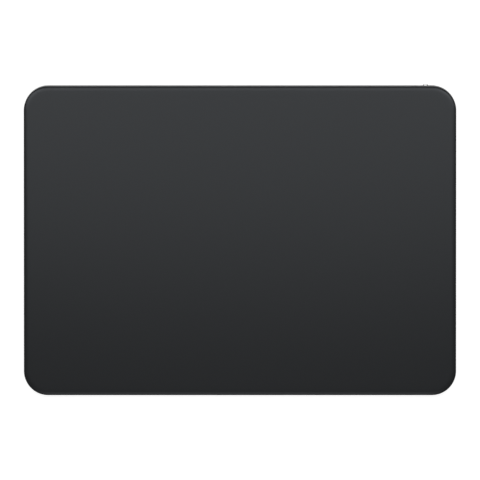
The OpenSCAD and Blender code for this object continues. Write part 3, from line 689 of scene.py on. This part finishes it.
def edgeRound(edge, high, baseTop, portEnd):  # how far an edge of the tray is rounded
    if edge.calc_face_angle(0) < math.radians(tray["sharpest"]):
        return 0
    spots = [toDeck @ v.co for v in edge.verts]
    if all(p.z > high.z - tray["near"] for p in spots):
        return tray["rimRound"]
    if all(p.y > high.y - tray["near"] and abs(p.x) < portEnd for p in spots):
        return tray["portRound"]
    below = any(face.normal.z < -tray["downward"] for face in edge.link_faces)
    if below and all(v.co.z < baseTop for v in edge.verts):
        return tray["baseRound"]
    return 0


def trayMesh():
    shape = flatFaced("lower_case")
    low, high = deckBox("lower_case")
    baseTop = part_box("lower_case")[0].z + tray["baseHigh"]
    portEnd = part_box("port_shell")[1].x + tray["portMargin"]
    short = [e for e in shape.edges if all(v.co.z < baseTop for v in e.verts)]
    bmesh.ops.dissolve_degenerate(shape, dist=tray["shortest"], edges=short)
    shape.normal_update()
    # the faces that get the painted shade inside the openings
    markPaintedOpeningShade(shape, low, high)
    widest = max(tray["rimRound"], tray["portRound"], tray["baseRound"])
    weight = shape.edges.layers.float.new("bevel_weight_edge")
    for edge in shape.edges:
        edge[weight] = edgeRound(edge, high, baseTop, portEnd) / widest

    def addRound(holder):
        bevel = holder.modifiers.new("round", "BEVEL")
        bevel.width = widest
        bevel.segments = tray["roundSteps"]
        bevel.limit_method = "WEIGHT"
        bevel.use_clamp_overlap = False
        holder.modifiers.new("even", "WEIGHTED_NORMAL").keep_sharp = True

    return applied(shaded(meshFrom(shape, "tray"), tray["sharpest"]), addRound)


trayShell = ridingPiece("tray_shell", trayMesh(), "base", "tray_aluminium", "lower_case")
print("tray:", len(trayShell.data.polygons), "faces")


# the charging port, built in a frame that looks out of the rear wall

port = {"lipRound": 0.11 * mm, "lipSteps": 4, "shellWall": 0.3 * mm, "endSteps": 16,
        "blockRound": 0.1 * mm, "tipRound": 0.12 * mm, "tongueCorner": 0.2 * mm, "tongueSteps": 4,
        "bladeRoot": 0.2 * mm, "contactRound": 0.02 * mm, "contactSteps": 2}
endFlat = 0.03 * mm  # half the flat left at the end of a slot shape, so that its inner outlines don't cross


def linerMesh():  # a slot-shaped shell, rounded at its mouth
    box = rearBox("port_shell")
    size = box[1] - box[0]
    wall, lip, steps = port["shellWall"], port["lipRound"], port["lipSteps"]
    profile = [(0, 0)]
    profile += arc((lip, size.z - lip), (lip, lip), 180, 90, steps)
    profile += arc((wall - lip, size.z - lip), (lip, lip), 90, 0, steps)
    profile.append((wall, 0))
    corner = size.y / 2 - endFlat
    mesh = swept(profile, size, corner, port["endSteps"], "plain_steel", closed=True)
    return smoothed(movedTo(mesh, footOf(box), rearTurn))


def tongueMesh():  # a thin blade on a block
    spots = spotsOf("port_tongue", toRear)
    low, high = boxOf(spots)
    centre = middle((low, high))
    blockTop = levelsOf(spots)[1]
    steps = port["tongueSteps"]
    blockSize = (high.x - low.x, high.y - low.y, blockTop - low.z)
    blockCorner = blockSize[1] / 2 - endFlat
    block = roundedBlock(blockSize, blockCorner, port["blockRound"], steps, "black_plastic")
    movedTo(block, (centre.x, centre.y, low.z), rearTurn)
    bladeLow, bladeHigh = atLevel(spots, high.z)
    bladeFoot = blockTop - port["bladeRoot"]
    bladeSize = (bladeHigh.x - bladeLow.x, bladeHigh.y - bladeLow.y, high.z - bladeFoot)
    blade = roundedBlock(bladeSize, port["tongueCorner"], port["tipRound"], steps, "black_plastic")
    movedTo(blade, (centre.x, centre.y, bladeFoot), rearTurn)
    return smoothed(combined(smoothed(block), smoothed(blade)))


def contactPiece():
    boxes = solidBoxes("port_contacts", toRear)
    size = boxes[0][1] - boxes[0][0]
    edge = port["contactRound"]
    bar = roundedBlock(size, edge, edge, port["contactSteps"], "contact_gold")
    movedTo(bar, (0, 0, -size.z / 2))
    places = [(rearTurn @ middle(box), rearTurn.to_euler()) for box in boxes]
    return repeated("port_contact_bars", smoothed(bar), places, "contact_gold", "port_contacts")


ridingPiece("port_liner", linerMesh(), "base", "plain_steel", "port_shell")
ridingPiece("port_tongue_blade", tongueMesh(), "base", "black_plastic", "port_tongue")
contactBars = contactPiece()
print("port:", len(contactBars.data.polygons), "contact faces")


# the power switch, built in the same frame

switch = {"faceRound": 0.18 * mm, "faceRoot": 0.2 * mm, "knobRound": 0.22 * mm, "knobCorner": 0.5 * mm,
          "knobRoot": 0.3 * mm, "leverRoot": 0.2 * mm, "steps": 5, "sharpest": 30}
# painted shade: two dark lines across the knob, standing for the shadow at its sides
shadeLine = {"lines": 2, "pitch": 1.41 * mm, "deep": 0.42 * mm, "wide": 0.34 * mm}


def raisedBlock(box, centre, bottom, top, corner, edge):  # a rounded block of a box's plan
    size = (box[1].x - box[0].x, box[1].y - box[0].y, top - bottom)
    block = roundedBlock(size, corner, edge, switch["steps"], "slider_plastic")
    return smoothed(movedTo(block, (centre.x, centre.y, bottom)))


def slab(box, bottom, top):
    low = Vector((box[0].x, box[0].y, bottom))
    high = Vector((box[1].x, box[1].y, top))
    return boxMesh(low, high, "slab")


def sliderMesh(spots):  # a knob on an oval face, a flange behind it and a lever at the back
    levels = levelsOf(spots)
    leverFoot, flangeFoot, flangeTop, faceTop = levels[:4]
    knobTop = levels[-1]
    lever, flange, face, knob = [atLevel(spots, z) for z in (leverFoot, flangeFoot, faceTop, knobTop)]
    centre = middle(knob)
    faceCorner = (face[1].y - face[0].y) / 2 - endFlat
    whole = combined(
        raisedBlock(face, centre, flangeTop - switch["faceRoot"], faceTop, faceCorner, switch["faceRound"]),
        raisedBlock(knob, centre, faceTop - switch["knobRoot"], knobTop, switch["knobCorner"],
                    switch["knobRound"]))
    whole = combined(whole, slab(flange, flangeFoot, flangeTop))
    return combined(whole, slab(lever, leverFoot, flangeFoot + switch["leverRoot"]))


def switchMeshes():  # the slider, and dark lines let into its knob, a painted shade that stands for the shadow at the knob's sides
    spots = spotsOf("switch_slider", toRear)
    whole = sliderMesh(spots)
    top = levelsOf(spots)[-1]
    low, high = atLevel(spots, top)
    lines = []
    for i in range(shadeLine["lines"]):
        x = middle((low, high)).x + (i - (shadeLine["lines"] - 1) / 2) * shadeLine["pitch"]
        grooveLow = Vector((x - shadeLine["wide"] / 2, low.y - cutPast, top - shadeLine["deep"]))
        grooveHigh = Vector((x + shadeLine["wide"] / 2, high.y + cutPast, top + cutPast))
        groove = boxMesh(grooveLow, grooveHigh, "groove")
        lines.append(combined(whole, groove, "INTERSECT"))
        whole = combined(whole, groove, "DIFFERENCE")
    shadeInlays = joined(lines, "lines")
    for mesh in (whole, shadeInlays):
        mesh.transform(rearTurn)
        smoothed(mesh, switch["sharpest"])
    return whole, shadeInlays


sliderBody, paintedShadeLines = switchMeshes()
slider = ridingPiece("switch_knob", sliderBody, "power_switch", "slider_plastic", "switch_slider")
# painted shade: the dark lines in the knob, in place of the shadow at its sides
ridingPiece("switch_grip_lines", paintedShadeLines, "power_switch", "black_plastic")
print("switch:", len(slider.data.polygons), "faces")


# the rubber feet

foot = {"edgeRound": 0.28 * mm, "edgeSteps": 6, "roundSteps": 20, "topMargin": 0.3 * mm,
        "dishWide": 3.1 * mm, "dishDeep": 0.06 * mm, "dishSlope": 0.15 * mm}


def footPiece():
    names = ["foot_" + corner for corner in corners]
    boxes = [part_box(name) for name in names]
    size = boxes[0][1] - boxes[0][0]
    edge = foot["edgeRound"]
    dish = size.x / 2 - foot["dishWide"]
    profile = [(foot["topMargin"], size.z), (0, size.z)]
    profile += arc((edge, edge), (edge, edge), 180, 270, foot["edgeSteps"])
    profile += [(dish, 0), (dish + foot["dishSlope"], foot["dishDeep"])]
    mesh = swept(profile, size, None, foot["roundSteps"], "foot_rubber")
    places = [(footOf(box), (0, 0, 0)) for box in boxes]
    return repeated("rubber_feet", smoothed(mesh), places, "foot_rubber", *names)


feet = footPiece()
print("feet:", len(feet.data.polygons), "faces")


# the screws

screw = {"headRadius": 1.4 * mm, "headHigh": 0.45 * mm, "headSide": 0.15 * mm, "headChamfer": 0.05 * mm,
         "domeWide": 0.6 * mm, "domeSteps": 5, "roundSteps": 7, "shankRadius": 0.7 * mm,
         "tipInset": 0.15 * mm, "threadPitch": 0.3 * mm, "threadDeep": 0.09 * mm, "crestAt": 0.4,
         "rootAt": 0.95, "recessLong": 1.5 * mm, "recessWide": 0.3 * mm, "recessDeep": 0.25 * mm}
screwTurns = {"beam_screws": deckTurn, "drive_screws": deckTurn, "board_screws": noTurn,
              "port_screws": deckTurn, "switch_screw": deckTurn}


def screwProfile(shank):  # from the tip up the thread, then round the head
    threads = int(shank / screw["threadPitch"])
    step = shank / threads
    inset = screw["headRadius"] - screw["shankRadius"]
    profile = [(inset + screw["tipInset"], -shank)]
    for i in range(threads):
        profile.append((inset, -shank + (i + screw["crestAt"]) * step))
        profile.append((inset + screw["threadDeep"], -shank + (i + screw["rootAt"]) * step))
    profile += [(inset, 0), (screw["headChamfer"], 0), (0, screw["headChamfer"])]
    side, wide = screw["headSide"], screw["domeWide"]
    return profile + arc((wide, side), (wide, screw["headHigh"] - side), 180, 90, screw["domeSteps"])


def screwMesh(shank):
    across = 2 * screw["headRadius"]
    mesh = swept(screwProfile(shank), (across, across), None, screw["roundSteps"], "screw_steel")
    mesh = smoothed(mesh)
    floor = screw["headHigh"] - screw["recessDeep"]
    long, wide = screw["recessLong"] / 2, screw["recessWide"] / 2
    for x, y in ((long, wide), (wide, long)):  # the two bars of a cross recess
        bar = boxMesh(Vector((-x, -y, floor)), Vector((x, y, screw["headHigh"] + cutPast)), "recess")
        mesh = combined(mesh, bar, "DIFFERENCE")
    return mesh


def screwPiece(node, turn):
    boxes = solidBoxes(node, turn.inverted())
    shank = boxes[0][1].z - boxes[0][0].z - screw["headHigh"]
    places = []
    for box in boxes:
        centre = middle(box)
        seat = Vector((centre.x, centre.y, box[1].z - screw["headHigh"]))
        places.append((turn @ seat, turn.to_euler()))
    repeated(node + "_set", screwMesh(shank), places, "screw_steel", node)


for screwNode, screwTurn in screwTurns.items():
    screwPiece(screwNode, screwTurn)
print("screws done")


# the drive's coils

coil = {"wireRadius": 0.22 * mm, "wireSides": 8, "gap": 0.02 * mm, "cornerRadius": 0.7 * mm,
        "cornerSteps": 5, "turnSteps": 36}


def coilPiece(node):
    low, high = deckBox(node)
    size = high - low
    wire = coil["wireRadius"]
    long, deep, tall = [length - 2 * wire for length in size]  # of the wire's middle line
    pitch = 2 * wire + coil["gap"]
    turns = int(long / pitch)
    mesh = grow(coilTree, bpy.data.meshes.new("seed"), {
        "Width": tall, "Depth": deep, "Corner Radius": coil["cornerRadius"],
        "Corner Steps": coil["cornerSteps"], "Pitch": pitch, "Turns": turns,
        "Turn Steps": coil["turnSteps"], "Wire Radius": wire, "Wire Sides": coil["wireSides"],
        "Material": finishes["coil_copper"]})
    centre = middle((low, high))
    start = (low.x + wire + (long - turns * pitch) / 2, centre.y, centre.z)
    sideways = Matrix.Rotation(math.radians(90), 4, "Y")
    mesh.transform(deckTurn @ Matrix.Translation(start) @ sideways)
    return ridingPiece(node + "_winding", smoothed(mesh), "base", "coil_copper", node)


windings = [coilPiece(f"coil_{side}_{end}") for side in ("left", "right") for end in ("front", "rear")]
print("coils:", sum(len(winding.data.polygons) for winding in windings), "faces")


# the small ceramic parts on the main board

passive = {"endShare": 0.24, "endWall": 0.05 * mm, "bodyShrink": 0.03 * mm, "edgeRound": 0.05 * mm,
           "edgeSteps": 2}


def smallBlock(size, finish):
    return roundedBlock(size, passive["edgeRound"], passive["edgeRound"], passive["edgeSteps"], finish)


def passivePieces():  # a body between two tinned ends
    boxes = solidBoxes("board_passives", noTurn)
    places = [(footOf(box), (0, 0, 0)) for box in boxes]
    size = boxes[0][1] - boxes[0][0]
    shrink = passive["bodyShrink"]
    bodySize = (size.x - 2 * passive["endWall"], size.y - 2 * shrink, size.z - shrink)
    body = smoothed(smallBlock(bodySize, "ceramic_tan"))
    repeated("passive_bodies", body, places, "ceramic_tan", "board_passives")
    endLong = passive["endShare"] * size.x
    ends = []
    for side in (-1, 1):
        end = smallBlock((endLong, size.y, size.z), "tin")
        ends.append(movedTo(end, (side * (size.x - endLong) / 2, 0, 0)))
    return repeated("passive_ends", smoothed(joined(ends, "ends")), places, "tin", slot="plain_steel")


passiveEnds = passivePieces()
print("small parts:", len(passiveEnds.data.polygons), "end faces")


# the foam seal on the tray's rim, built at rest; in the real thing the sinking glass presses it flat

seal = {"wide": 0.8 * mm, "crown": 0.14 * mm, "crownSteps": 6, "cornerSteps": 20, "sharpest": 50,
        "fill": 0.3}


def sealPiece():
    box = deckBox("edge_seal")
    size = box[1] - box[0]
    half = seal["wide"] / 2
    profile = [(0, 0)]
    profile += arc((half, size.z - seal["crown"]), (half, seal["crown"]), 180, 0, seal["crownSteps"])
    profile.append((seal["wide"], 0))
    corner = cornerRadius("edge_seal")
    mesh = swept(profile, size, corner, seal["cornerSteps"], "black_foam", closed=True)
    mesh = smoothed(movedTo(mesh, footOf(box), deckTurn), seal["sharpest"])
    piece = ridingPiece("foam_seal", mesh, "base", "black_foam", "edge_seal")
    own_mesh(piece)
    return piece


foamSeal = sealPiece()
print("seal:", len(foamSeal.data.polygons), "faces")


# the beams, gauges, pads and ribbon that lie between two bodies; all but the pads are cut across into short
# lengths

bend = {"sharpest": 30}
beam = {"clampLong": 7 * mm, "cuts": 12}
shearPad = {"corner": 0.8 * mm, "edge": 0.08 * mm, "edgeSteps": 3}
ribbon = {"socketLong": 3.2 * mm, "splitAt": 8.2 * mm, "plugLong": 3.2 * mm, "lowerCuts": 8, "upperCuts": 4}


def cutAcross(shape, place, along, **drop):
    everything = shape.verts[:] + shape.edges[:] + shape.faces[:]
    cut = bmesh.ops.bisect_plane(shape, geom=everything, plane_co=place, plane_no=along, **drop)
    return cut["geom_cut"]


def bentPiece(name, shape, node, bodies, start, end, cuts):
    for i in range(1, cuts):
        cutAcross(shape, start.lerp(end, i / cuts), (end - start).normalized())
    mesh = smoothed(meshFrom(shape, name), bend["sharpest"])
    piece = addPiece(name, mesh, slotOf[node])
    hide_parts(node)
    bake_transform(piece)


def beamPieces(corner):  # a beam, clamped at its inner end, and the strain gauge on its waist
    node = "force_beam_" + corner
    low, high = deckBox(node)
    spot = middle((low, high))
    inner, outer = (high.x, low.x) if "left" in corner else (low.x, high.x)
    clamp = math.copysign(beam["clampLong"], inner - outer)
    start = deckTurn @ Vector((inner - clamp, spot.y, spot.z))
    end = deckTurn @ Vector((outer + clamp, spot.y, spot.z))
    gauge = flatFaced("strain_gauges")
    reach = (high - low).xy.length / 2
    others = [v for v in gauge.verts if (toDeck @ v.co - spot).xy.length > reach]
    bmesh.ops.delete(gauge, geom=others, context="VERTS")
    bodies = ("base", "suspension")
    bentPiece("bending_beam_" + corner, flatFaced(node), node, bodies, start, end, beam["cuts"])
    bentPiece("bending_gauge_" + corner, gauge, "strain_gauges", bodies, start, end, beam["cuts"])


def padPiece(corner):  # a silicone pad, built at rest; in the real thing it shears as the glass shakes
    node = "shear_pad_" + corner
    box = deckBox(node)
    size = box[1] - box[0]
    mesh = roundedBlock(size, shearPad["corner"], shearPad["edge"], shearPad["edgeSteps"], "silicone")
    mesh = smoothed(movedTo(mesh, footOf(box), deckTurn))
    piece = addPiece("rubber_pad_" + corner, mesh, "silicone")
    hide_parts(node)
    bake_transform(piece)


def ribbonPieces():  # the ribbon in two stretches, cut across; in the real thing the lower one gives as the glass sinks, the upper one as it shakes
    low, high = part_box("sensor_cable")
    spot = middle((low, high))
    turningPoints = (low.y + ribbon["socketLong"], low.y + ribbon["splitAt"], high.y - ribbon["plugLong"])
    start, split, end = [Vector((spot.x, y, spot.z)) for y in turningPoints]
    for name, bodies, ends, cuts, drop in (
            ("sensor_ribbon", ("base", "suspension"), (start, split), ribbon["lowerCuts"], "clear_outer"),
            ("sensor_ribbon_end", ("suspension", "touch_plate"), (split, end), ribbon["upperCuts"],
             "clear_inner")):
        shape = flatFaced("sensor_cable")
        rim = cutAcross(shape, split, end - start, **{drop: True})
        bmesh.ops.holes_fill(shape, edges=[e for e in rim if isinstance(e, bmesh.types.BMEdge)])
        bentPiece(name, shape, "sensor_cable", bodies, *ends, cuts)


for cornerName in corners:
    beamPieces(cornerName)
    padPiece(cornerName)
ribbonPieces()
print("bending pieces done")


# the studio

studio = {"room": 0.22, "white": 1.0, "floorTone": 0.40, "floorNear": 0.78, "floorFar": 0.92,
          "fade": (0.1, 0.7), "floorMirrored": 0.50, "floorSize": 30}
lamps = {"topLamp": {"place": (0, 0.046, 0.45), "size": (0.30, 0.21), "power": 0.69},
         "rearLamp": {"place": (0, 0.128, 0.43), "size": (0.5, 0.05), "power": 0.43},
         "leftLamp": {"place": (-0.19, 0.10, 0.44), "size": (0.12, 0.14), "power": 0.36},
         "rightLamp": {"place": (0.19, 0.10, 0.44), "size": (0.12, 0.14), "power": 0.36},
         "frontLamp": {"place": (0, -0.31, 0.44), "size": (0.24, 0.18), "power": 0.40, "aim": (0, 0, 0)}}
shot = {"distance": 6.0, "sensor": 36.0, "frameWidth": 0.17755}


def seenRays(tree):  # camera, mirror and glass rays, which see the white surroundings
    rays = addNode(tree, "ShaderNodeLightPath").outputs
    first = addMath(tree, "MAXIMUM", rays["Is Camera Ray"], rays["Is Glossy Ray"])
    return addMath(tree, "MAXIMUM", first, rays["Is Transmission Ray"])


def addWorld():
    world = bpy.data.worlds.new("studio")
    bpy.context.scene.world = world
    world.use_nodes = True
    tree = world.node_tree
    strength = addNode(tree, "ShaderNodeMapRange", {
        "Value": seenRays(tree), "To Min": studio["room"], "To Max": studio["white"]})
    back = tree.nodes["Background"]
    back.inputs["Color"].default_value = rgb(1)
    tree.links.new(strength.outputs["Result"], back.inputs["Strength"])


def paleFloor():  # pale paint that also glows a little where it is seen, and keeps the shadow
    material = bpy.data.materials.new("paleFloor")
    material.use_nodes = True
    tree = material.node_tree
    tree.nodes.remove(tree.nodes["Principled BSDF"])
    paint = addNode(tree, "ShaderNodeBsdfDiffuse", {"Color": rgb(studio["floorTone"])})
    rays = addNode(tree, "ShaderNodeLightPath").outputs
    mirrored = addMath(tree, "MULTIPLY", seenRays(tree), studio["floorMirrored"])
    place = addNode(tree, "ShaderNodeTexCoord").outputs["Object"]
    away = addNode(tree, "ShaderNodeVectorMath", {0: place}, operation="LENGTH")
    bright = addNode(tree, "ShaderNodeMapRange", {
        "Value": away.outputs["Value"], "From Min": studio["fade"][0], "From Max": studio["fade"][1],
        "To Min": studio["floorNear"], "To Max": studio["floorFar"]}, interpolation_type="SMOOTHSTEP")
    shown = addMath(tree, "MULTIPLY", rays["Is Camera Ray"], bright.outputs["Result"])
    glow = addNode(tree, "ShaderNodeEmission", {"Strength": addMath(tree, "MAXIMUM", mirrored, shown)})
    both = addNode(tree, "ShaderNodeAddShader", {0: paint, 1: glow})
    tree.links.new(both.outputs[0], tree.nodes["Material Output"].inputs["Surface"])
    return material


def addFloor():
    shape = bmesh.new()
    bmesh.ops.create_grid(shape, x_segments=1, y_segments=1, size=studio["floorSize"] / 2)
    floor = addObject("studio_floor", meshFrom(shape, "studioFloor"))
    floor.data.materials.append(paleFloor())


def addLamp(name, place, size, power, aim=None):  # looks straight down unless it has an aim
    light = bpy.data.lights.new(name, "AREA")
    light.shape = "RECTANGLE"
    light.size, light.size_y = size
    light.energy = power
    lamp = addObject(name, light)
    lamp.location = place
    lamp.visible_camera = False
    towards = Vector(aim or (place[0], place[1], 0)) - Vector(place)
    lamp.rotation_euler = towards.to_track_quat("-Z", "Y").to_euler()


def addCamera():
    data = bpy.data.cameras.new("camera")
    data.sensor_width = shot["sensor"]
    data.lens = shot["sensor"] * shot["distance"] / shot["frameWidth"]
    data.clip_end = 2 * shot["distance"]
    camera = addObject("camera", data)
    centre = middle(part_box("lower_case"))
    camera.location = (centre.x, centre.y, shot["distance"] + cadHigh.z)
    bpy.context.scene.camera = camera


addWorld()
addFloor()
for lampName, lampLook in lamps.items():
    addLamp(lampName, **lampLook)
addCamera()
bpy.context.scene.view_settings.view_transform = "Standard"
print("studio ready")
